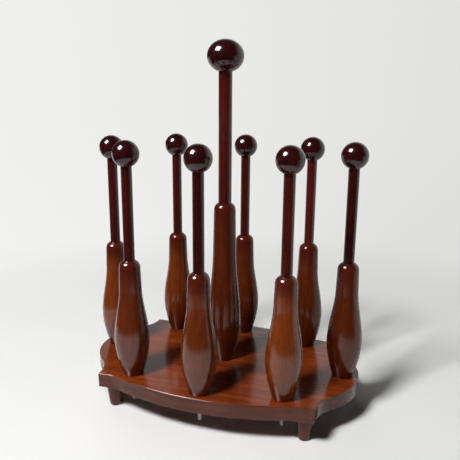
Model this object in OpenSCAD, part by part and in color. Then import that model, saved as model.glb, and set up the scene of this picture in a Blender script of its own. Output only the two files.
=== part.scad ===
// Mug tree: a shaped board on four turned feet carries an oval ring of eight ball-topped pegs and a taller
// carrying post. The origin is the middle of the footprint, on the surface that the feet stand on.
// +X runs along the board, -Y towards its front, +Z up.

/* [Board] */
// Length of the board over its two round ends
board_l = 366; // [356:1:380]
// Width of the board over its bowed front and back edges
board_w = 233; // [226:1:236]
// Thickness of the board
board_t = 19; // [16:0.5:24]
// Distance between the corners, along the length
corner_span_l = 283; // [276:1:290]
// Distance between the corners, across the width
corner_span_w = 192; // [190:1:198]
// Radius of the round ends
end_r = 77; // [70:1:80]
// Radius of the hollow beside each corner
cove_r = 50; // [40:1:60]
// Radius of the bowed front and back edges
bow_r = 340; // [320:1:345]
// Radius that eases each bow into its corner
bow_blend_r = 60; // [40:1:70]

/* [Feet] */
// Height of the feet under the board
foot_h = 31.5; // [26:0.5:40]
// Diameter of a foot where it meets the board
foot_top_d = 21; // [18:0.5:24]
// Diameter of the flat that a foot stands on
foot_tip_d = 9; // [7:0.5:11]
// Radius of the rounding above that flat
foot_toe_r = 3; // [2:0.5:3]
// Distance between the feet, along the length
foot_span_l = 254; // [240:1:256]
// Distance between the feet, across the width
foot_span_w = 157; // [140:1:160]
// Diameter of the tenon that holds a foot
foot_tenon_d = 10; // [8:0.5:12]
// Length of that tenon
foot_tenon_l = 11; // [8:0.5:12]

/* [Ring of pegs] */
// Distance between the two pegs at the ends
end_pegs_l = 324; // [300:1:330]
// Distance between the middle peg in front and the one behind
middle_pegs_w = 196; // [176:1:198]
// Distance between the pegs beside the corners, along the length
corner_pegs_l = 199; // [180:1:204]
// Distance between the pegs beside the corners, across the width
corner_pegs_w = 156; // [140:1:160]

/* [Pegs] */
// Height of a peg's ball centre above the board
ball_z = 284; // [240:1:300]
// Diameter of the ball
ball_d = 33; // [28:0.5:36]
// Diameter of the stem
stem_d = 13.6; // [12:0.2:15]
// Height of the club's shoulder above the board
shoulder_z = 152; // [140:1:160]
// Diameter of the club where it stands on the board
base_d = 26.6; // [24:0.2:30]
// Diameter of the club's belly
belly_d = 44.4; // [38:0.2:46]
// Height of the belly above the board
belly_z = 48; // [42:1:54]
// Diameter of the neck
neck_d = 28.2; // [26:0.2:32]
// Height of the neck above the board
neck_z = 118; // [105:1:124]
// Diameter just under the domed shoulder
crown_d = 26.6; // [25:0.2:30]

/* [Centre post] */
// Height of the knob's centre above the board
knob_z = 400; // [360:1:420]
// Diameter of the knob
knob_d = 46.2; // [40:0.2:50]
// Height of the slightly flattened knob
knob_h = 40.2; // [36:0.2:46]
// Diameter of the post's stem
post_stem_d = 17.2; // [15:0.2:19]
// Height of the post's shoulder above the board
post_shoulder_z = 217; // [205:1:225]
// Diameter of the post's belly
post_belly_d = 44; // [38:0.2:46]
// Height of the post's belly above the board
post_belly_z = 56; // [48:1:62]
// Diameter of the post's neck
post_neck_d = 30.6; // [29:0.2:34]
// Height of the post's neck above the board
post_neck_z = 155; // [140:1:165]
// Diameter just under the post's domed shoulder
post_crown_d = 28.6; // [27:0.2:32]

/* [Joints and bolts] */
// Depth of a stem in its club
stem_in_club = 26; // [18:1:30]
// Space for glue round a tenon
glue_gap = 0.1; // [0.05:0.05:0.2]
// Diameter of the hanger bolts
bolt_d = 5; // [4:0.5:5.5]
// Length of a bolt inside its club
bolt_in_club = 24; // [18:1:30]
// Length of a bolt that stands out below the board
bolt_below = 18.5; // [12:0.5:24]
// Diameter of the bolt holes in the board
bolt_hole_d = 5.6; // [5.4:0.1:7]
// Diameter of the washers
washer_d = 15; // [12:0.5:18]
// Thickness of the washers
washer_t = 1.2; // [1:0.1:2]
// Width of the nuts across their flats
nut_flats = 8; // [8:0.5:10]
// Thickness of the nuts
nut_t = 4; // [3:0.5:5]

/* [Hidden] */

round_fn = 72;     // facets round every turned piece
arc_steps = 10;    // straight pieces in an arc
curve_steps = 14;  // straight pieces in a swell or an ease
dome_h = 9;        // height of the domed shoulder on every club
dome_lip = 1.4;    // flat left on top of the dome, round the stem
soft_edge = 1;     // height and width of the small bevel round the base of a club
socket_rest = 0.5; // empty depth left at the bottom of each glued socket
cut = 1;           // how far a cutting tool runs past the face it opens

board_z = foot_h + board_t;
board_colour = "#6b2612";
club_colour = "#6f2a12";
stem_colour = "#561710";
ball_colour = "#3f0f0d";
metal_colour = "#b9bcbf";

// The pegs in order round the ring, from the right end by way of the back
peg_spots = [
    [end_pegs_l / 2, 0],
    [corner_pegs_l / 2, corner_pegs_w / 2],
    [0, middle_pegs_w / 2],
    [-corner_pegs_l / 2, corner_pegs_w / 2],
    [-end_pegs_l / 2, 0],
    [-corner_pegs_l / 2, -corner_pegs_w / 2],
    [0, -middle_pegs_w / 2],
    [corner_pegs_l / 2, -corner_pegs_w / 2]
];
bolt_spots = concat([[0, 0]], peg_spots);

// ---- Curves ----

// Points on a circle, from one angle to another
function arc(centre, r, from, to) =
    [for (i = [0:arc_steps]) let (a = from + (to - from) * i / arc_steps) centre + r * [cos(a), sin(a)]];

// A profile that swells from radius r0 at height z0 and levels off at radius r1, a quarter of a sine wave
function swell(r0, r1, z0, z1) =
    [for (i = [0:curve_steps]) let (t = i / curve_steps) [r0 + (r1 - r0) * sin(90 * t), z0 + (z1 - z0) * t]];

// A profile that eases from radius r0 to radius r1 and is upright at both, half of a cosine wave
function ease(r0, r1, z0, z1) =
    [for (i = [1:curve_steps]) let (t = i / curve_steps)
        [(r0 + r1) / 2 + (r0 - r1) / 2 * cos(180 * t), z0 + (z1 - z0) * t]];

// A round shoulder that leaves radius r0 upright at z0 and reaches radius r1 at z1
function dome(r0, r1, z0, z1) =
    let (turn = 2 * atan((r0 - r1) / (z1 - z0)), r = (z1 - z0) / sin(turn))
    arc([r0 - r, z0], r, 0, turn);

// A quarter of the board's outline, from the middle of the front edge to the tip of the right end
function board_quarter() =
    let (
        corner = [corner_span_l, -corner_span_w] / 2,
        bow_centre = [0, bow_r - board_w / 2],
        blend_drop = bow_centre.y - corner.y + bow_blend_r,
        blend_x = sqrt(pow(bow_r + bow_blend_r, 2) - pow(blend_drop, 2)),
        bow_turn = atan(blend_x / blend_drop),
        end_centre = [board_l / 2 - end_r, 0],
        reach = corner - end_centre,
        along = (pow(end_r + cove_r, 2) - pow(cove_r, 2) + pow(norm(reach), 2)) / (2 * norm(reach)),
        across = sqrt(pow(end_r + cove_r, 2) - pow(along, 2)),
        cove_centre = end_centre + (along * reach + across * [-reach.y, reach.x]) / norm(reach),
        cove_from = (360 + atan2(corner.y - cove_centre.y, corner.x - cove_centre.x)) % 360,
        end_turn = atan2(cove_centre.y, cove_centre.x - end_centre.x)
    )
    concat(
        arc(bow_centre, bow_r, -90, bow_turn - 90),
        arc([blend_x, corner.y - bow_blend_r], bow_blend_r, 90 + bow_turn, 90),
        arc(cove_centre, cove_r, cove_from, 180 + end_turn),
        arc(end_centre, end_r, end_turn, 0)
    );

function board_outline() =
    let (quarter = board_quarter(), last = len(quarter) - 1)
    concat(
        quarter,
        [for (i = [last - 1:-1:0]) [quarter[i].x, -quarter[i].y]],
        [for (i = [1:last]) -quarter[i]],
        [for (i = [last - 1:-1:1]) [-quarter[i].x, quarter[i].y]]
    );

// ---- Board and feet ----

module base_plate() {
    color(board_colour)
    difference() {
        translate([0, 0, foot_h]) linear_extrude(board_t) polygon(board_outline());
        for (spot = bolt_spots) {
            translate([spot.x, spot.y, foot_h - cut])
                cylinder(d = bolt_hole_d, h = board_t + 2 * cut, $fn = round_fn);
        }
        for (x = [-1, 1], y = [-1, 1]) {
            translate([x * foot_span_l / 2, y * foot_span_w / 2, foot_h - cut])
                cylinder(d = foot_tenon_d + 2 * glue_gap, h = foot_tenon_l + socket_rest + cut,
                         $fn = round_fn);
        }
    }
}

// One bullet foot with its tenon, at side x and y of the board
module foot(x, y) {
    tip_r = foot_tip_d / 2;
    color(club_colour)
    translate([x * foot_span_l / 2, y * foot_span_w / 2, 0])
        rotate_extrude($fn = round_fn)
            polygon(concat(
                [[0, 0]],
                arc([tip_r, foot_toe_r], foot_toe_r, -90, 0),
                swell(tip_r + foot_toe_r, foot_top_d / 2, foot_toe_r, foot_h),
                [
                    [foot_tenon_d / 2, foot_h],
                    [foot_tenon_d / 2, foot_h + foot_tenon_l],
                    [0, foot_h + foot_tenon_l]
                ]
            ));
}

// ---- Pegs and post ----

// The turned lower body of a peg, standing on z = 0
module club(belly_r, belly_h, neck_r, neck_h, crown_r, shoulder_h, socket_d) {
    dome_z = shoulder_h - dome_h;
    mouth_r = socket_d / 2 + dome_lip;
    color(club_colour)
    difference() {
        rotate_extrude($fn = round_fn)
            polygon(concat(
                [[0, 0], [base_d / 2 - soft_edge, 0]],
                swell(base_d / 2, belly_r, soft_edge, belly_h),
                ease(belly_r, neck_r, belly_h, neck_h),
                dome(crown_r, mouth_r, dome_z, shoulder_h),
                [[0, shoulder_h]]
            ));
        // Socket for the stem
        translate([0, 0, shoulder_h - stem_in_club - socket_rest])
            cylinder(d = socket_d, h = stem_in_club + socket_rest + cut, $fn = round_fn);
        // Pilot hole for the bolt
        translate([0, 0, -cut])
            cylinder(d = bolt_d + 2 * glue_gap, h = bolt_in_club + socket_rest + cut, $fn = round_fn);
    }
}

// The plain rod from inside a club up to the middle of its ball
module stem(d, shoulder_h, top) {
    color(stem_colour)
    translate([0, 0, shoulder_h - stem_in_club])
        cylinder(d = d, h = top - shoulder_h + stem_in_club, $fn = round_fn);
}

// The hole for a stem, from below the ball to a little past its middle
module ball_socket(stem_hole_d, reach) {
    translate([0, 0, -reach]) cylinder(d = stem_hole_d, h = reach + socket_rest, $fn = round_fn);
}

module at_peg(i) {
    translate([peg_spots[i - 1].x, peg_spots[i - 1].y, board_z]) children();
}

module peg_club(i) {
    at_peg(i)
        club(belly_d / 2, belly_z, neck_d / 2, neck_z, crown_d / 2, shoulder_z, stem_d + 2 * glue_gap);
}

module peg_stem(i) {
    at_peg(i) stem(stem_d, shoulder_z, ball_z);
}

module peg_ball(i) {
    color(ball_colour)
    at_peg(i) translate([0, 0, ball_z]) {
        difference() {
            sphere(d = ball_d, $fn = round_fn);
            ball_socket(stem_d + 2 * glue_gap, ball_d);
        }
    }
}

module post_club() {
    translate([0, 0, board_z])
        club(post_belly_d / 2, post_belly_z, post_neck_d / 2, post_neck_z, post_crown_d / 2,
             post_shoulder_z, post_stem_d + 2 * glue_gap);
}

module post_stem() {
    translate([0, 0, board_z]) stem(post_stem_d, post_shoulder_z, knob_z);
}

// The bigger ball on the post, turned a little lower than it is wide
module post_knob() {
    color(ball_colour)
    translate([0, 0, board_z + knob_z]) {
        difference() {
            rotate_extrude($fn = round_fn)
                polygon([for (i = [0:2 * curve_steps])
                    let (a = 90 * i / curve_steps - 90) [knob_d / 2 * cos(a), knob_h / 2 * sin(a)]]);
            ball_socket(post_stem_d + 2 * glue_gap, knob_h);
        }
    }
}

// ---- Fasteners under the board ----

module hanger_bolts() {
    color(metal_colour)
    for (spot = bolt_spots) {
        translate([spot.x, spot.y, foot_h - bolt_below])
            cylinder(d = bolt_d, h = bolt_below + board_t + bolt_in_club, $fn = round_fn);
    }
}

module washers() {
    color(metal_colour)
    for (spot = bolt_spots) {
        translate([spot.x, spot.y, foot_h - washer_t])
            difference() {
                cylinder(d = washer_d, h = washer_t, $fn = round_fn);
                translate([0, 0, -cut])
                    cylinder(d = bolt_hole_d, h = washer_t + 2 * cut, $fn = round_fn);
            }
    }
}

module nuts() {
    color(metal_colour)
    for (spot = bolt_spots) {
        translate([spot.x, spot.y, foot_h - washer_t - nut_t])
            difference() {
                cylinder(d = nut_flats / cos(30), h = nut_t, $fn = 6);
                translate([0, 0, -cut])
                    cylinder(d = bolt_d + 2 * glue_gap, h = nut_t + 2 * cut, $fn = round_fn);
            }
    }
}

base_plate();
foot(-1, -1);  // foot_front_left
foot(1, -1);  // foot_front_right
foot(-1, 1);  // foot_back_left
foot(1, 1);  // foot_back_right
for (i = [1:8]) {
    peg_club(i);
    peg_stem(i);
    peg_ball(i);
}
post_club();
post_stem();
post_knob();
hanger_bolts();
washers();
nuts();
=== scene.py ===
import math

import bmesh
import bpy
from mathutils import Matrix, Vector


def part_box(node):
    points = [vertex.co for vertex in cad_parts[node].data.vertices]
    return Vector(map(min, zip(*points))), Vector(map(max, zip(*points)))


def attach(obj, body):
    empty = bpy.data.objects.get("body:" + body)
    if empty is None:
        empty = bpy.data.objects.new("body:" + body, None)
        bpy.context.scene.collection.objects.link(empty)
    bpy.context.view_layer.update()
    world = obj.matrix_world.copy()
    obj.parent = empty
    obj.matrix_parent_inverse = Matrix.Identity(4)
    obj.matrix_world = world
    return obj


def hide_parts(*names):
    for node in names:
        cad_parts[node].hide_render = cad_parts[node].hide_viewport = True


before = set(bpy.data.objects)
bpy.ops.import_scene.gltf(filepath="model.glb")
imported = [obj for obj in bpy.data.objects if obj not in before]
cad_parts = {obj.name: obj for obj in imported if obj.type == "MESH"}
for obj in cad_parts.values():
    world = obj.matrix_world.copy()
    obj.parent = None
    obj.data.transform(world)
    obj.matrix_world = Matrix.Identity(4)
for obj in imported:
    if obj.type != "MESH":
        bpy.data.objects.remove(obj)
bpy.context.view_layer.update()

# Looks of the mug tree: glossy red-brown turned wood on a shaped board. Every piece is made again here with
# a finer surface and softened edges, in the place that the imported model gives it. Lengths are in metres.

MM = 0.001

# ---- Sizes that repeat part.scad ----

BOARD = dict(
    length=366 * MM, width=233 * MM, corner_span_l=283 * MM, corner_span_w=192 * MM,
    end_r=77 * MM, cove_r=50 * MM, bow_r=340 * MM, bow_blend_r=60 * MM,
)
CLUB = dict(
    base_d=26.6 * MM, belly_d=44.4 * MM, belly_z=48 * MM, neck_d=28.2 * MM, neck_z=118 * MM,
    crown_d=26.6 * MM, stem_d=13.6 * MM,
)
POST = dict(
    base_d=26.6 * MM, belly_d=44 * MM, belly_z=56 * MM, neck_d=30.6 * MM, neck_z=155 * MM,
    crown_d=28.6 * MM, stem_d=17.2 * MM,
)
DOME_H = 9 * MM
DOME_LIP = 1.4 * MM
FOOT_TIP_D = 9 * MM
FOOT_TOE_R = 3 * MM
FOOT_TOP_D = 21 * MM
BOLT_D = 5 * MM
BOLT_HOLE_D = 5.6 * MM
WASHER_D = 15 * MM
NUT_FLATS = 8 * MM
KNOB_FLATNESS = 40.2 / 46.2
GLUE_GAP = 0.1 * MM

# ---- Sizes that only the looks have ----

LATHE_STEPS = 128
ARRIS = 1.3 * MM
BASE_EASE_R = 1 * MM
LIP_R = 0.5 * MM
MOUTH_CHAMFER = 0.3 * MM
MOUTH_DEPTH = 2 * MM
BALL_FLAT = 0.9 * MM
THREAD_PITCH = 0.8 * MM
THREAD_DEPTH = 0.45 * MM
BOLT_CHAMFER = 0.7 * MM
METAL_EASE = 0.35 * MM

# ---- Where things are ----


def middle(node):
    """The centre of a CAD node's box."""
    low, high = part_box(node)
    return (low + high) / 2


def base_of(node):
    """The middle of the lowest face of a CAD node's box."""
    low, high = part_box(node)
    return Vector(((low.x + high.x) / 2, (low.y + high.y) / 2, low.z))


BOARD_LOW, BOARD_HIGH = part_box("base_plate")
BOARD_TOP = BOARD_HIGH.z

# ---- Profiles: lists of (radius, height) ----


def swell(r0, r1, z0, z1, steps=28):
    """Swells from r0 and levels off at r1."""
    return [(r0 + (r1 - r0) * math.sin(math.pi / 2 * i / steps), z0 + (z1 - z0) * i / steps)
            for i in range(steps + 1)]


def ease(r0, r1, z0, z1, steps=28):
    """Eases from r0 to r1, upright at both."""
    return [((r0 + r1) / 2 + (r0 - r1) / 2 * math.cos(math.pi * i / steps), z0 + (z1 - z0) * i / steps)
            for i in range(1, steps + 1)]


def dome(r0, r1, z0, z1, steps=16):
    """A round shoulder that leaves r0 upright at z0 and reaches r1 at z1."""
    turn = 2 * math.atan((r0 - r1) / (z1 - z0))
    r = (z1 - z0) / math.sin(turn)
    return [(r0 - r + r * math.cos(turn * i / steps), z0 + r * math.sin(turn * i / steps))
            for i in range(steps + 1)]


def rounded(r, z, radius, start, end, steps=6):
    """A small arc round the point (r, z), from one angle to another in degrees."""
    return [(r + radius * math.cos(math.radians(start + (end - start) * i / steps)),
             z + radius * math.sin(math.radians(start + (end - start) * i / steps)))
            for i in range(steps + 1)]


def club_profile(size, height):
    """From the base on the board up to the rim of the stem's socket."""
    socket_r = size["stem_d"] / 2 + GLUE_GAP
    lip_r = size["stem_d"] / 2 + DOME_LIP
    base_r = size["base_d"] / 2
    foot = [(0, 0)] + rounded(base_r - BASE_EASE_R, BASE_EASE_R, BASE_EASE_R, -90, -10)
    body = swell(base_r, size["belly_d"] / 2, BASE_EASE_R, size["belly_z"])[1:]
    neck = ease(size["belly_d"] / 2, size["neck_d"] / 2, size["belly_z"], size["neck_z"])
    shoulder = dome(size["crown_d"] / 2, lip_r, height - DOME_H, height - 0.7 * LIP_R)
    lip = rounded(lip_r - LIP_R, height - LIP_R, LIP_R, 40, 90)
    mouth = [(socket_r + 0.25 * MM, height), (socket_r, height - MOUTH_CHAMFER),
             (socket_r, height - MOUTH_DEPTH)]
    return foot + body + neck + shoulder + lip + mouth


def stem_profile(d, length, steps=12):
    """A plain rod."""
    return [(0, 0), (d / 2, 0)] + [(d / 2, length * i / steps) for i in range(1, steps + 1)] + [(0, length)]


def ball_profile(d, h, stem_d, steps=64):
    """A ball with a small flat round the stem; its socket's wall goes on a little way inside."""
    socket_r = stem_d / 2 + GLUE_GAP
    flat_r = stem_d / 2 + BALL_FLAT
    start = -math.acos(flat_r / (d / 2))
    flat_z = h / 2 * math.sin(start)
    mouth = [(socket_r, flat_z + MOUTH_DEPTH), (socket_r, flat_z + MOUTH_CHAMFER),
             (socket_r + MOUTH_CHAMFER, flat_z)]
    skin = [(d / 2 * math.cos(start + (math.pi / 2 - start) * i / steps),
             h / 2 * math.sin(start + (math.pi / 2 - start) * i / steps)) for i in range(steps)]
    return mouth + skin + [(0, h / 2)]


def foot_profile(height):
    """From the flat tip up to the underside of the board."""
    tip_r = FOOT_TIP_D / 2
    toe = rounded(tip_r, FOOT_TOE_R, FOOT_TOE_R, -90, 0, 10)
    return [(0, 0)] + toe + swell(tip_r + FOOT_TOE_R, FOOT_TOP_D / 2, FOOT_TOE_R, height)[1:]


# ---- Meshes ----


def finish_mesh(name, bm, sharp_degrees):
    """Turns a bmesh into an object with smooth faces that meet sharply only at real edges."""
    bmesh.ops.recalc_face_normals(bm, faces=bm.faces)
    limit = math.radians(sharp_degrees)
    for edge in bm.edges:
        if len(edge.link_faces) == 2:
            edge.smooth = edge.calc_face_angle() < limit
    for face in bm.faces:
        face.smooth = True
    mesh = bpy.data.meshes.new(name)
    bm.to_mesh(mesh)
    bm.free()
    made = bpy.data.objects.new(name, mesh)
    bpy.context.scene.collection.objects.link(made)
    return made


def lathe(name, profile, place, sharp_degrees=50, steps=LATHE_STEPS):
    """A turned piece standing on place, from its profile."""
    bm = bmesh.new()
    rings = []
    for r, z in profile:
        if r < 1e-6:
            rings.append([bm.verts.new((0, 0, z))])
        else:
            rings.append([bm.verts.new((r * math.cos(2 * math.pi * i / steps),
                                        r * math.sin(2 * math.pi * i / steps), z)) for i in range(steps)])
    for low, high in zip(rings, rings[1:]):
        for i in range(steps):
            j = (i + 1) % steps
            corners = [low[i % len(low)], low[j % len(low)], high[j % len(high)], high[i % len(high)]]
            unique = list(dict.fromkeys(corners))
            bm.faces.new(unique)
    made = finish_mesh(name, bm, sharp_degrees)
    made.location = place
    return made


def arc(centre, r, start, end, steps=24):
    """Points on a circle, from one angle to another in radians."""
    return [Vector((centre[0] + r * math.cos(start + (end - start) * i / steps),
                    centre[1] + r * math.sin(start + (end - start) * i / steps))) for i in range(steps + 1)]


def board_quarter():
    """The outline from the middle of the front edge to the tip of the right end, as in part.scad."""
    s = BOARD
    corner = Vector((s["corner_span_l"] / 2, -s["corner_span_w"] / 2))
    bow_centre = Vector((0, s["bow_r"] - s["width"] / 2))
    drop = bow_centre.y - corner.y + s["bow_blend_r"]
    blend_x = math.sqrt((s["bow_r"] + s["bow_blend_r"]) ** 2 - drop ** 2)
    bow_turn = math.atan(blend_x / drop)
    end_centre = Vector((s["length"] / 2 - s["end_r"], 0))
    reach = corner - end_centre
    radii = s["end_r"] + s["cove_r"]
    along = (radii ** 2 - s["cove_r"] ** 2 + reach.length_squared) / (2 * reach.length)
    across = math.sqrt(radii ** 2 - along ** 2)
    cove_centre = end_centre + (along * reach + across * Vector((-reach.y, reach.x))) / reach.length
    cove_start = math.atan2(corner.y - cove_centre.y, corner.x - cove_centre.x) % (2 * math.pi)
    end_turn = math.atan2(cove_centre.y, cove_centre.x - end_centre.x)
    quarter = math.pi / 2
    bow = arc(bow_centre, s["bow_r"], -quarter, bow_turn - quarter)
    blend = arc((blend_x, corner.y - s["bow_blend_r"]), s["bow_blend_r"], quarter + bow_turn, quarter, 8)
    cove = arc(cove_centre, s["cove_r"], cove_start, math.pi + end_turn)
    end = arc(end_centre, s["end_r"], end_turn, 0)
    return bow + blend[1:] + cove + end[1:]


def board_outline():
    """The whole outline: the quarter and its three mirror images."""
    quarter = board_quarter()
    inner = quarter[1:-1]
    back_right = [Vector((p.x, -p.y)) for p in reversed(inner)]
    back_left = [-p for p in inner]
    front_left = [Vector((-p.x, p.y)) for p in reversed(inner)]
    return quarter + back_right + [-quarter[0]] + back_left + [-quarter[-1]] + front_left


def make_board():
    """The shaped board, with its edges softened all round."""
    outline = board_outline()
    bm = bmesh.new()
    bottom = [bm.verts.new((p.x, p.y, BOARD_LOW.z)) for p in outline]
    top = [bm.verts.new((p.x, p.y, BOARD_HIGH.z)) for p in outline]
    bm.faces.new(top)
    bm.faces.new(bottom)
    for i in range(len(outline)):
        j = (i + 1) % len(outline)
        bm.faces.new((bottom[i], bottom[j], top[j], top[i]))
    bmesh.ops.remove_doubles(bm, verts=bm.verts, dist=1e-6)
    board = finish_mesh("board", bm, 30)
    bevel = board.modifiers.new("arris", "BEVEL")
    bevel.width = ARRIS
    bevel.segments = 4
    bevel.limit_method = "ANGLE"
    bevel.angle_limit = math.radians(30)
    bevel.harden_normals = True
    return board


def bolt_spots():
    """Where the nine bolts are: on the axes of the post and the pegs."""
    clubs = ["post_club"] + [f"club_{i}" for i in range(1, 9)]
    return [middle(name) for name in clubs]


def join_rings(bm, rings):
    """Faces between each ring of vertices and the next, which has as many."""
    for low, high in zip(rings, rings[1:]):
        for i in range(len(low)):
            j = (i + 1) % len(low)
            bm.faces.new((low[i], low[j], high[j], high[i]))


def make_bolts():
    """The threaded ends that stand out under the nuts, all in one piece, and the shanks up to the clubs."""
    steps = 24
    rows_per_turn = 6
    low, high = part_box("hanger_bolts")
    rows = int((BOARD_LOW.z - low.z) / THREAD_PITCH * rows_per_turn)
    bm = bmesh.new()
    for spot in bolt_spots():
        rings = []
        for row in range(rows + 1):
            z = low.z + THREAD_PITCH * row / rows_per_turn
            taper = max(0, BOLT_CHAMFER - (z - low.z))
            ring = []
            for i in range(steps):
                phase = (row / rows_per_turn - i / steps) % 1
                r = BOLT_D / 2 - max(THREAD_DEPTH * abs(2 * phase - 1), taper)
                a = 2 * math.pi * i / steps
                ring.append(bm.verts.new((spot.x + r * math.cos(a), spot.y + r * math.sin(a), z)))
            rings.append(ring)
        rings.append([bm.verts.new((v.co.x, v.co.y, high.z)) for v in rings[-1]])
        join_rings(bm, rings)
        bm.faces.new(rings[0])
        bm.faces.new(rings[-1])
    return finish_mesh("bolt_threads", bm, 40)


def ring_mesh(bm, spot, outer, hole_r, low, high, sides, steps=24):
    """A washer or nut: an outside with that many sides, outer to its corners, round a round hole."""
    half_side = math.pi / sides
    angles = [2 * math.pi * i / steps for i in range(steps)]
    loops = [[(hole_r, a, low) for a in angles]]
    for z, inset in ((low, METAL_EASE), (low + METAL_EASE, 0), (high - METAL_EASE, 0), (high, METAL_EASE)):
        loop = []
        for a in angles:
            from_corner = abs((a + half_side) % (2 * half_side) - half_side)
            to_flat = outer * math.cos(half_side) / math.cos(from_corner - half_side)
            loop.append((min(to_flat, outer - inset), a, z))
        loops.append(loop)
    loops.append([(hole_r, a, high) for a in angles])
    rings = [[bm.verts.new((spot.x + r * math.cos(a), spot.y + r * math.sin(a), z)) for r, a, z in loop]
             for loop in loops]
    join_rings(bm, rings + rings[:1])


def make_washers():
    """The nine washers, in one piece."""
    low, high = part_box("washers")
    bm = bmesh.new()
    for spot in bolt_spots():
        ring_mesh(bm, spot, WASHER_D / 2, BOLT_HOLE_D / 2, low.z, high.z, 24)
    return finish_mesh("washer_rings", bm, 30)


def make_nuts():
    """The nine hexagonal nuts, in one piece."""
    low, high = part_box("nuts")
    bm = bmesh.new()
    for spot in bolt_spots():
        ring_mesh(bm, spot, NUT_FLATS / 2 / math.cos(math.pi / 6), BOLT_D / 2 + GLUE_GAP, low.z, high.z, 6)
    return finish_mesh("hex_nuts", bm, 30)


# ---- Materials ----


class Nodes:
    """Short ways to add nodes to one shader tree."""

    def __init__(self, tree):
        self.tree = tree

    def add(self, kind, inputs=None, **settings):
        node = self.tree.nodes.new(kind)
        for key, value in settings.items():
            setattr(node, key, value)
        for key, value in (inputs or {}).items():
            self.put(node.inputs[key], value)
        return node

    def put(self, socket, value):
        """Links a socket to another node's output, or sets it to a plain value."""
        if isinstance(value, bpy.types.NodeSocket):
            self.tree.links.new(value, socket)
        else:
            socket.default_value = value

    def noise(self, vector, scale, detail=3, roughness=0.5, distortion=0.0):
        node = self.add("ShaderNodeTexNoise", {"Vector": vector, "Scale": scale, "Detail": detail,
                                               "Roughness": roughness, "Distortion": distortion})
        return node.outputs["Fac"]

    def ramp(self, value, stops):
        """Stops are (position, linear colour or grey)."""
        node = self.add("ShaderNodeValToRGB", {"Fac": value})
        band = node.color_ramp
        while len(band.elements) < len(stops):
            band.elements.new(0.5)
        for element, (position, colour) in zip(band.elements, stops):
            if not isinstance(colour, tuple):
                colour = (colour, colour, colour)
            element.position = position
            element.color = (*colour, 1)
        return node.outputs["Color"]

    def mix(self, factor, a, b, blend="MIX"):
        node = self.add("ShaderNodeMix", data_type="RGBA", blend_type=blend)
        self.put(node.inputs[0], factor)
        self.put(node.inputs[6], a)
        self.put(node.inputs[7], b)
        return node.outputs[2]

    def math(self, operation, a, b=0.0):
        node = self.add("ShaderNodeMath", operation=operation)
        self.put(node.inputs[0], a)
        self.put(node.inputs[1], b)
        return node.outputs[0]

    def spread(self, value, low, high, to_low, to_high):
        """Turns a value from low to high into one from to_low to to_high, smoothly and clamped at both."""
        node = self.add("ShaderNodeMapRange", {"Value": value, "From Min": low, "From Max": high,
                                               "To Min": to_low, "To Max": to_high},
                        interpolation_type="SMOOTHSTEP")
        return node.outputs["Result"]


class MaterialNodes(Nodes):
    """The same for a new material, with its Principled shader and its output at hand."""

    def __init__(self, name):
        self.material = bpy.data.materials.new(name)
        self.material.use_nodes = True
        super().__init__(self.material.node_tree)
        self.shader = self.tree.nodes["Principled BSDF"]
        self.surface = self.tree.nodes["Material Output"].inputs["Surface"]


# How the wood's texture is stretched along the grain
STRETCH = {"x": (0.05, 1, 1), "z": (1, 1, 0.05)}
RING_STRETCH = {"x": (0.12, 1, 1), "z": (1, 1, 0.12)}
# How many spots of each kind there are to a metre, across the grain
STREAKS_PER_M = 150
FIBRES_PER_M = 800
PORES_PER_M = 1500
BLOTCHES_PER_M = 24
SMEARS_PER_M = 55
RIPPLES_PER_M = 130
# How far the growth rings' axis lies from a turned piece's own, and where it lies from the board's middle
HEART_R = 110 * MM
BOARD_HEART = (0, 20 * MM, 160 * MM)
# How far the darkening at the ends of a club reaches, and how much its edge wanders
END_FADE = 40 * MM
END_WANDER = 30 * MM


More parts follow.
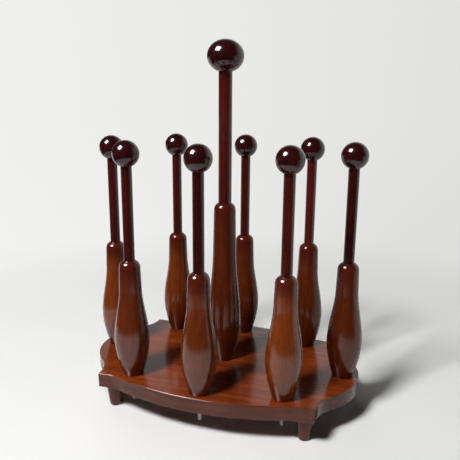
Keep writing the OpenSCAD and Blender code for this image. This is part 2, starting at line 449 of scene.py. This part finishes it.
def lacquered_wood(name, tones, grain="z", seed=0.0, ring_share=0.12, ring_gap=5 * MM, contrast=1.0,
                   ends=None, painted_side_shade=1.0, gloss=1.0, coat_roughness=0.13):
    """Red-brown wood under satin lacquer.

    tones are four colours from dark latewood to light earlywood, and grain is the axis that it runs along.
    ends is (low, high, colour): the colour darkens to that one towards both of those heights.
    The side shade is painted shade: it multiplies the colour on upright faces and underneath, to darken them
    as if they got less light.
    """
    n = MaterialNodes(name)
    place = n.add("ShaderNodeTexCoord").outputs["Object"]
    shift = (seed * 0.37, seed * 0.53, seed * 0.71)
    fibres_at = n.add("ShaderNodeMapping", {"Vector": place, "Location": shift,
                                            "Scale": STRETCH[grain]}).outputs["Vector"]
    streaks = n.noise(fibres_at, STREAKS_PER_M, detail=3, roughness=0.55)
    fibres = n.noise(fibres_at, FIBRES_PER_M, detail=3, roughness=0.6)
    # Growth rings: shells round an axis beside the piece, which a belly cuts into long loops
    heart = (HEART_R * math.cos(seed), HEART_R * math.sin(seed), 0) if grain == "z" else BOARD_HEART
    rings_at = n.add("ShaderNodeMapping", {"Vector": place, "Location": heart,
                                           "Scale": RING_STRETCH[grain]}).outputs["Vector"]
    rings = n.add("ShaderNodeTexWave", {"Vector": rings_at, "Scale": math.pi / (10 * ring_gap),
                                        "Distortion": 3.0, "Detail": 2.0, "Detail Scale": 0.35,
                                        "Detail Roughness": 0.5},
                  wave_type="RINGS", rings_direction=grain.upper(), wave_profile="SAW").outputs["Fac"]
    figure = n.math("MULTIPLY", n.math("SUBTRACT", rings, 0.5), ring_share)
    figure = n.math("ADD", figure, n.math("MULTIPLY", n.math("SUBTRACT", streaks, 0.5), 0.6 * contrast))
    figure = n.math("ADD", figure, n.math("MULTIPLY", n.math("SUBTRACT", fibres, 0.5), 0.28 * contrast))
    figure = n.math("ADD", figure, 0.5)
    colour = n.ramp(figure, [(0.30, tones[0]), (0.44, tones[1]), (0.56, tones[2]), (0.70, tones[3])])
    # Open pores: short dark dashes along the grain
    pore_noise = n.noise(fibres_at, PORES_PER_M, detail=2, roughness=0.4)
    pores = n.spread(pore_noise, 0.60, 0.70, 0, 1)
    colour = n.mix(n.math("MULTIPLY", pores, 0.2), colour, (*tones[0], 1))
    # Stain taken up unevenly
    blotch = n.noise(place, BLOTCHES_PER_M, detail=2)
    colour = n.mix(1.0, colour, n.ramp(blotch, [(0.3, 0.88), (0.7, 1.12)]), "MULTIPLY")
    if ends:
        low, high, end_colour = ends
        height = n.add("ShaderNodeSeparateXYZ", {"Vector": place}).outputs["Z"]
        height = n.math("ADD", height, n.math("MULTIPLY", n.math("SUBTRACT", blotch, 0.5), END_WANDER))
        near_low = n.spread(height, low, low + END_FADE, 0.95, 0)
        near_high = n.spread(height, high - END_FADE, high - 5 * MM, 0, 0.9)
        colour = n.mix(n.math("MAXIMUM", near_low, near_high), colour, (*end_colour, 1))
    # Painted shade: upright faces and the underside are darkened by which way they face, as if they got less
    # light
    if painted_side_shade < 1:
        facing = n.add("ShaderNodeSeparateXYZ", {"Vector": n.add("ShaderNodeNewGeometry").outputs["Normal"]})
        shade = n.spread(facing.outputs["Z"], 0.2, 0.9, painted_side_shade, 1)
        colour = n.mix(1.0, colour, n.ramp(shade, [(0, 0.0), (1, 1.0)]), "MULTIPLY")
    # The grain is felt in the wood itself. The lacquer over it has only a slight ripple of its own
    relief = n.math("SUBTRACT", n.math("MULTIPLY", fibres, 0.55), n.math("MULTIPLY", pores, 0.25))
    wood = n.add("ShaderNodeBump", {"Height": relief, "Strength": 0.15, "Distance": 0.0006})
    ripple = n.noise(place, RIPPLES_PER_M, detail=1)
    lacquer = n.add("ShaderNodeBump", {"Height": ripple, "Strength": 0.006, "Distance": 0.0006})
    smears = n.noise(place, SMEARS_PER_M, detail=4, roughness=0.6)
    n.put(n.shader.inputs["Base Color"], colour)
    n.put(n.shader.inputs["Roughness"], n.spread(smears, 0.3, 0.7, 0.20, 0.32))
    n.put(n.shader.inputs["Normal"], wood.outputs["Normal"])
    n.put(n.shader.inputs["Coat Normal"], lacquer.outputs["Normal"])
    n.shader.inputs["Specular IOR Level"].default_value = 0.03
    n.shader.inputs["Coat Weight"].default_value = gloss
    n.shader.inputs["Coat Roughness"].default_value = coat_roughness
    n.shader.inputs["Coat IOR"].default_value = 1.55
    return n.material


def bright_metal(name):
    """Zinc-plated steel with fine turning marks and dull patches."""
    n = MaterialNodes(name)
    place = n.add("ShaderNodeTexCoord").outputs["Object"]
    turned = n.add("ShaderNodeMapping", {"Vector": place, "Scale": (1, 1, 12)}).outputs["Vector"]
    marks = n.noise(turned, 900)
    dull = n.noise(place, 180, detail=4)
    zinc = n.ramp(dull, [(0.35, (0.80, 0.79, 0.76)), (0.6, (0.93, 0.93, 0.91))])
    n.put(n.shader.inputs["Base Color"], zinc)
    n.put(n.shader.inputs["Roughness"], n.spread(dull, 0.3, 0.7, 0.55, 0.38))
    bump = n.add("ShaderNodeBump", {"Height": marks, "Strength": 0.15, "Distance": 0.0002})
    n.put(n.shader.inputs["Normal"], bump.outputs["Normal"])
    n.shader.inputs["Metallic"].default_value = 0.8
    return n.material


ROOM_LEFT = (0.88, 0.88, 0.87)
ROOM_RIGHT = (0.72, 0.72, 0.70)


def room_colour(n, outward):
    """The pale room's colour in a direction: a little dimmer towards the right."""
    across = n.add("ShaderNodeVectorMath", {0: outward, 1: (1, 0.2, 0)}, operation="DOT_PRODUCT")
    share = n.spread(across.outputs["Value"], -0.8, 0.8, 0, 1)
    return n.mix(share, (*ROOM_LEFT, 1), (*ROOM_RIGHT, 1))


def floor_paper(name):
    """The pale floor: matt paper, which runs out into the colour of the room far away."""
    n = MaterialNodes(name)
    place = n.add("ShaderNodeTexCoord").outputs["Object"]
    cloud = n.noise(place, 3, detail=2)
    paper = n.ramp(cloud, [(0.3, (0.92, 0.92, 0.905)), (0.7, (0.95, 0.95, 0.935))])
    n.put(n.shader.inputs["Base Color"], paper)
    n.shader.inputs["Roughness"].default_value = 0.6
    n.shader.inputs["Specular IOR Level"].default_value = 0.1
    outward = n.add("ShaderNodeVectorMath", {0: place}, operation="NORMALIZE").outputs["Vector"]
    distance = n.add("ShaderNodeVectorMath", {0: place}, operation="LENGTH").outputs["Value"]
    far = n.add("ShaderNodeEmission", {"Color": room_colour(n, outward)})
    join = n.add("ShaderNodeMixShader", {0: n.spread(distance, 0.20, 1.0, 0, 1), 1: n.shader.outputs[0],
                                         2: far.outputs[0]})
    n.put(n.surface, join.outputs[0])
    return n.material


def pale_backdrop(name):
    """The even pale room that a view shows beyond the floor."""
    n = MaterialNodes(name)
    outward = n.add("ShaderNodeVectorMath", {0: n.add("ShaderNodeTexCoord").outputs["Object"]},
                    operation="NORMALIZE").outputs["Vector"]
    n.put(n.surface, n.add("ShaderNodeEmission", {"Color": room_colour(n, outward)}).outputs[0])
    return n.material


def floor_shade(name, middle_way):
    """Lets the lacquer mirror the pale floor only near the part, or well to the side of middle_way."""
    n = MaterialNodes(name)
    place = n.add("ShaderNodeTexCoord").outputs["Object"]
    distance = n.add("ShaderNodeVectorMath", {0: place}, operation="LENGTH").outputs["Value"]
    outward = n.add("ShaderNodeVectorMath", {0: place}, operation="NORMALIZE").outputs["Vector"]
    towards_middle = n.add("ShaderNodeVectorMath", {0: outward, 1: middle_way}, operation="DOT_PRODUCT")
    darkness = n.math("MULTIPLY", n.spread(distance, 0.45, 0.66, 0, 1),
                      n.spread(towards_middle.outputs["Value"], -0.30, 0.30, 0, 1))
    clear = n.add("ShaderNodeBsdfTransparent")
    black = n.add("ShaderNodeEmission", {"Color": (0.015, 0.015, 0.015, 1)})
    join = n.add("ShaderNodeMixShader", {0: darkness, 1: clear.outputs[0], 2: black.outputs[0]})
    n.put(n.surface, join.outputs[0])
    return n.material


# ---- Pieces ----


def settle(piece, material, slot, *nodes):
    """Gives a piece its material, ties it to the part and lets it stand for its CAD nodes."""
    piece.data.materials.append(material)
    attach(piece, "root")
    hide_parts(*nodes)


# For each peg in the order of the nodes: how light its club is, its share of orange, how light its stem is
# and how glossy the club is
PEG_TONES = [
    (0.58, 0.05, 0.45, 0.80), (0.72, 0.25, 1.20, 0.50), (0.78, 0.20, 0.90, 0.45), (1.05, 0.45, 0.85, 0.60),
    (1.12, 0.50, 0.80, 0.90), (0.78, 0.10, 0.75, 1.00), (0.82, 0.35, 0.48, 1.00), (1.05, 0.65, 0.80, 1.00),
]
# Linear colours, each list from dark latewood to light earlywood
RED_WOOD = [
    (0.095, 0.0138, 0.0028), (0.119, 0.0185, 0.0036), (0.143, 0.0232, 0.0045), (0.172, 0.0292, 0.0055),
]
ORANGE_WOOD = [
    (0.110, 0.0211, 0.0025), (0.136, 0.0282, 0.0032), (0.167, 0.0370, 0.0040), (0.202, 0.0466, 0.0049),
]
STEM_WOOD = [
    (0.040, 0.0037, 0.0026), (0.056, 0.0051, 0.0034), (0.069, 0.0065, 0.0042), (0.087, 0.0085, 0.0051),
]
BALL_WOOD = [
    (0.015, 0.0012, 0.0014), (0.021, 0.0015, 0.0017), (0.027, 0.0020, 0.0022), (0.037, 0.0025, 0.0025),
]
BOARD_WOOD = [
    (0.119, 0.0181, 0.0034), (0.162, 0.0266, 0.0046), (0.209, 0.0366, 0.0061), (0.261, 0.0484, 0.0080),
]
END_RED = (0.068, 0.0075, 0.0028)


def toned(strength, orange):
    """The four wood colours of one club."""
    return [tuple(strength * (r + (o - r) * orange) for r, o in zip(red, warm))
            for red, warm in zip(RED_WOOD, ORANGE_WOOD)]


def scaled(tones, strength):
    """The same colours, lighter or darker."""
    return [tuple(strength * c for c in tone) for tone in tones]


def make_peg(number):
    """A club, its stem and its ball."""
    club_node, stem_node, ball_node = f"club_{number}", f"stem_{number}", f"ball_{number}"
    strength, orange, stem_strength, gloss = PEG_TONES[number - 1]
    low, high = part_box(club_node)
    height = high.z - low.z
    club = lathe(f"turned_club_{number}", club_profile(CLUB, height), base_of(club_node))
    settle(club, lacquered_wood(f"club_wood_{number}", toned(strength, orange), seed=number * 1.7,
                                ends=(0, height, END_RED), gloss=gloss), "turned_wood", club_node)
    low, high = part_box(stem_node)
    stem = lathe(f"dowel_{number}", stem_profile(CLUB["stem_d"], high.z - low.z), base_of(stem_node))
    stem_tones = scaled(STEM_WOOD, stem_strength)
    settle(stem, lacquered_wood(f"dowel_wood_{number}", stem_tones, seed=number + 20.3),
           "stem_wood", stem_node)
    low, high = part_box(ball_node)
    ball_d = high.y - low.y
    centre = middle(ball_node)
    ball = lathe(f"turned_ball_{number}", ball_profile(ball_d, ball_d, CLUB["stem_d"]),
                 Vector((centre.x, centre.y, high.z - ball_d / 2)))
    settle(ball, lacquered_wood(f"ball_wood_{number}", BALL_WOOD, seed=number + 40.6, coat_roughness=0.14),
           "ball_wood", ball_node)


def make_post():
    """The taller post in the middle, with its slightly flattened knob."""
    low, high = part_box("post_club")
    height = high.z - low.z
    club = lathe("turned_post", club_profile(POST, height), base_of("post_club"))
    settle(club, lacquered_wood("post_wood", toned(0.58, 0.0), seed=9.4, ring_share=0.15, ring_gap=9 * MM,
                                contrast=1.5, ends=(0, height, END_RED), gloss=0.6),
           "turned_wood", "post_club")
    low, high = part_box("post_stem")
    stem = lathe("post_dowel", stem_profile(POST["stem_d"], high.z - low.z), base_of("post_stem"))
    settle(stem, lacquered_wood("post_dowel_wood", STEM_WOOD, seed=31.2), "stem_wood", "post_stem")
    low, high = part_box("post_knob")
    centre = middle("post_knob")
    knob_d = high.y - low.y
    knob_h = knob_d * KNOB_FLATNESS
    knob = lathe("turned_knob", ball_profile(knob_d, knob_h, POST["stem_d"]),
                 Vector((centre.x, centre.y, high.z - knob_h / 2)))
    settle(knob, lacquered_wood("knob_wood", BALL_WOOD, seed=52.9, coat_roughness=0.14),
           "ball_wood", "post_knob")


def make_feet():
    """The four feet, duller than the rest."""
    corners = [f"foot_{depth}_{side}" for depth in ("front", "back") for side in ("left", "right")]
    for seed, node in enumerate(corners, start=61):
        foot = lathe(f"bullet_{node}", foot_profile(BOARD_LOW.z), base_of(node), steps=64)
        settle(foot, lacquered_wood(f"bullet_wood_{node}", toned(0.6, 0.0), seed=seed * 1.3,
                                    gloss=0.6, coat_roughness=0.2), "turned_wood", node)


# The board's upright faces and underside get painted shade
board_look = lacquered_wood("board_wood", BOARD_WOOD, grain="x", seed=3.3, ring_gap=9 * MM,
                            contrast=1.3, painted_side_shade=0.4, gloss=0.75, coat_roughness=0.15)
settle(make_board(), board_look, "board_wood", "base_plate")
for number in range(1, 9):
    make_peg(number)
make_post()
make_feet()
metal = bright_metal("bright_steel")
settle(make_bolts(), metal, "bright_steel", "hanger_bolts")
settle(make_washers(), metal, "bright_steel", "washers")
settle(make_nuts(), metal, "bright_steel", "nuts")

# ---- Floor, light and camera ----

VIEW_AZIMUTH = math.radians(17.22)
VIEW_ELEVATION = math.radians(13.17)
VIEW_ROLL = math.radians(0.45)
CAMERA_OVER_BOARD = Vector((0.2122, -0.6611, 0.3437))
SENSOR_WIDTH = 36
LENS = 42.42
FLOOR_R = 12
BACKDROP_R = 14
SHADE_R = 10
SHADE_LIFT = 2 * MM
LIGHTS_AIM = Vector((0, 0, 0.15))
WALL_GLOW = 0.75
DARK_ROOM_GLOW = 0.02


def direction(azimuth, elevation):
    """The unit vector from the part towards an azimuth, counted from the front to the right, in radians."""
    return Vector((math.sin(azimuth) * math.cos(elevation), -math.cos(azimuth) * math.cos(elevation),
                   math.sin(elevation)))


def make_floor():
    """A wide round floor."""
    bm = bmesh.new()
    bmesh.ops.create_circle(bm, cap_ends=True, segments=96, radius=FLOOR_R)
    floor = finish_mesh("floor", bm, 30)
    floor.data.materials.append(floor_paper("floor_paper"))


def stage_card(card, material, camera=False, glossy=False):
    """Something round the stage that lights nothing: only the camera, or only the lacquer, sees it."""
    card.data.materials.append(material)
    card.visible_camera = camera
    card.visible_glossy = glossy
    card.visible_diffuse = False
    card.visible_transmission = False
    card.visible_shadow = False


def make_backdrop():
    """A round room that only the camera sees."""
    bm = bmesh.new()
    bmesh.ops.create_uvsphere(bm, u_segments=48, v_segments=24, radius=BACKDROP_R)
    stage_card(finish_mesh("backdrop", bm, 60), pale_backdrop("pale_backdrop"), camera=True)


def make_floor_shade():
    """A sheet just above the floor that only the lacquer sees, dark in front of the part and to the left."""
    bm = bmesh.new()
    bmesh.ops.create_circle(bm, cap_ends=True, segments=48, radius=SHADE_R,
                            matrix=Matrix.Translation((0, 0, SHADE_LIFT)))
    middle_way = direction(VIEW_AZIMUTH - math.radians(30), 0)
    stage_card(finish_mesh("floor_shade", bm, 30), floor_shade("floor_shade", middle_way), glossy=True)


def make_world():
    """What the lacquer mirrors above the floor: a dark room with a pale wall behind and to the right."""
    world = bpy.data.worlds.new("studio")
    bpy.context.scene.world = world
    world.use_nodes = True
    n = Nodes(world.node_tree)
    outward = n.add("ShaderNodeTexCoord").outputs["Generated"]
    wall_side = direction(VIEW_AZIMUTH + math.radians(140), 0)
    towards_wall = n.add("ShaderNodeVectorMath", {0: outward, 1: wall_side}, operation="DOT_PRODUCT")
    rise = n.add("ShaderNodeSeparateXYZ", {"Vector": outward}).outputs["Z"]
    wall = n.math("MULTIPLY", n.spread(towards_wall.outputs["Value"], 0.2, 0.75, 0, WALL_GLOW),
                  n.spread(rise, 0.5, 0.8, 1, 0.15))
    background = world.node_tree.nodes["Background"]
    n.put(background.inputs["Color"], (1, 1, 0.98, 1))
    n.put(background.inputs["Strength"], n.math("ADD", wall, DARK_ROOM_GLOW))
    world.cycles_visibility.diffuse = False


def area_light(name, azimuth, elevation, distance, size, power):
    """A square light that faces the middle of the part. The angles are in degrees."""
    towards = direction(math.radians(azimuth), math.radians(elevation))
    data = bpy.data.lights.new(name, "AREA")
    data.size = size
    data.energy = power
    light = bpy.data.objects.new(name, data)
    light.location = LIGHTS_AIM + towards * distance
    light.rotation_mode = "QUATERNION"
    light.rotation_quaternion = towards.to_track_quat("Z", "Y")
    light.visible_camera = False
    bpy.context.scene.collection.objects.link(light)
    return light


make_floor()
make_backdrop()
make_floor_shade()
make_world()
# One light only glints in the lacquer. The others shine on the wood and the floor, and do not glint.
glint = area_light("glint", azimuth=-43, elevation=49, distance=2.6, size=1.0, power=150)
glint.visible_diffuse = False
window = area_light("window", azimuth=-26, elevation=52, distance=2.6, size=0.5, power=73)
right_fill = area_light("right_fill", azimuth=85, elevation=14, distance=2.0, size=1.2, power=1)
back_fill = area_light("back_fill", azimuth=-140, elevation=36, distance=2.2, size=1.2, power=7)
for soft in (window, right_fill, back_fill):
    soft.visible_glossy = False


def make_camera():
    """The camera of the picture's own view."""
    data = bpy.data.cameras.new("camera")
    camera = bpy.data.objects.new("camera", data)
    bpy.context.scene.collection.objects.link(camera)
    bpy.context.scene.camera = camera
    back = direction(VIEW_AZIMUTH, VIEW_ELEVATION)
    level = Vector((math.cos(VIEW_AZIMUTH), math.sin(VIEW_AZIMUTH), 0))
    upright = back.cross(level)
    right = math.cos(VIEW_ROLL) * level + math.sin(VIEW_ROLL) * upright
    up = back.cross(right)
    camera.rotation_mode = "QUATERNION"
    camera.rotation_quaternion = Matrix((right, up, back)).transposed().to_quaternion()
    camera.location = CAMERA_OVER_BOARD + Vector((0, 0, BOARD_TOP))
    data.sensor_width = SENSOR_WIDTH
    data.lens = LENS


make_camera()
bpy.context.scene.view_settings.view_transform = "Standard"
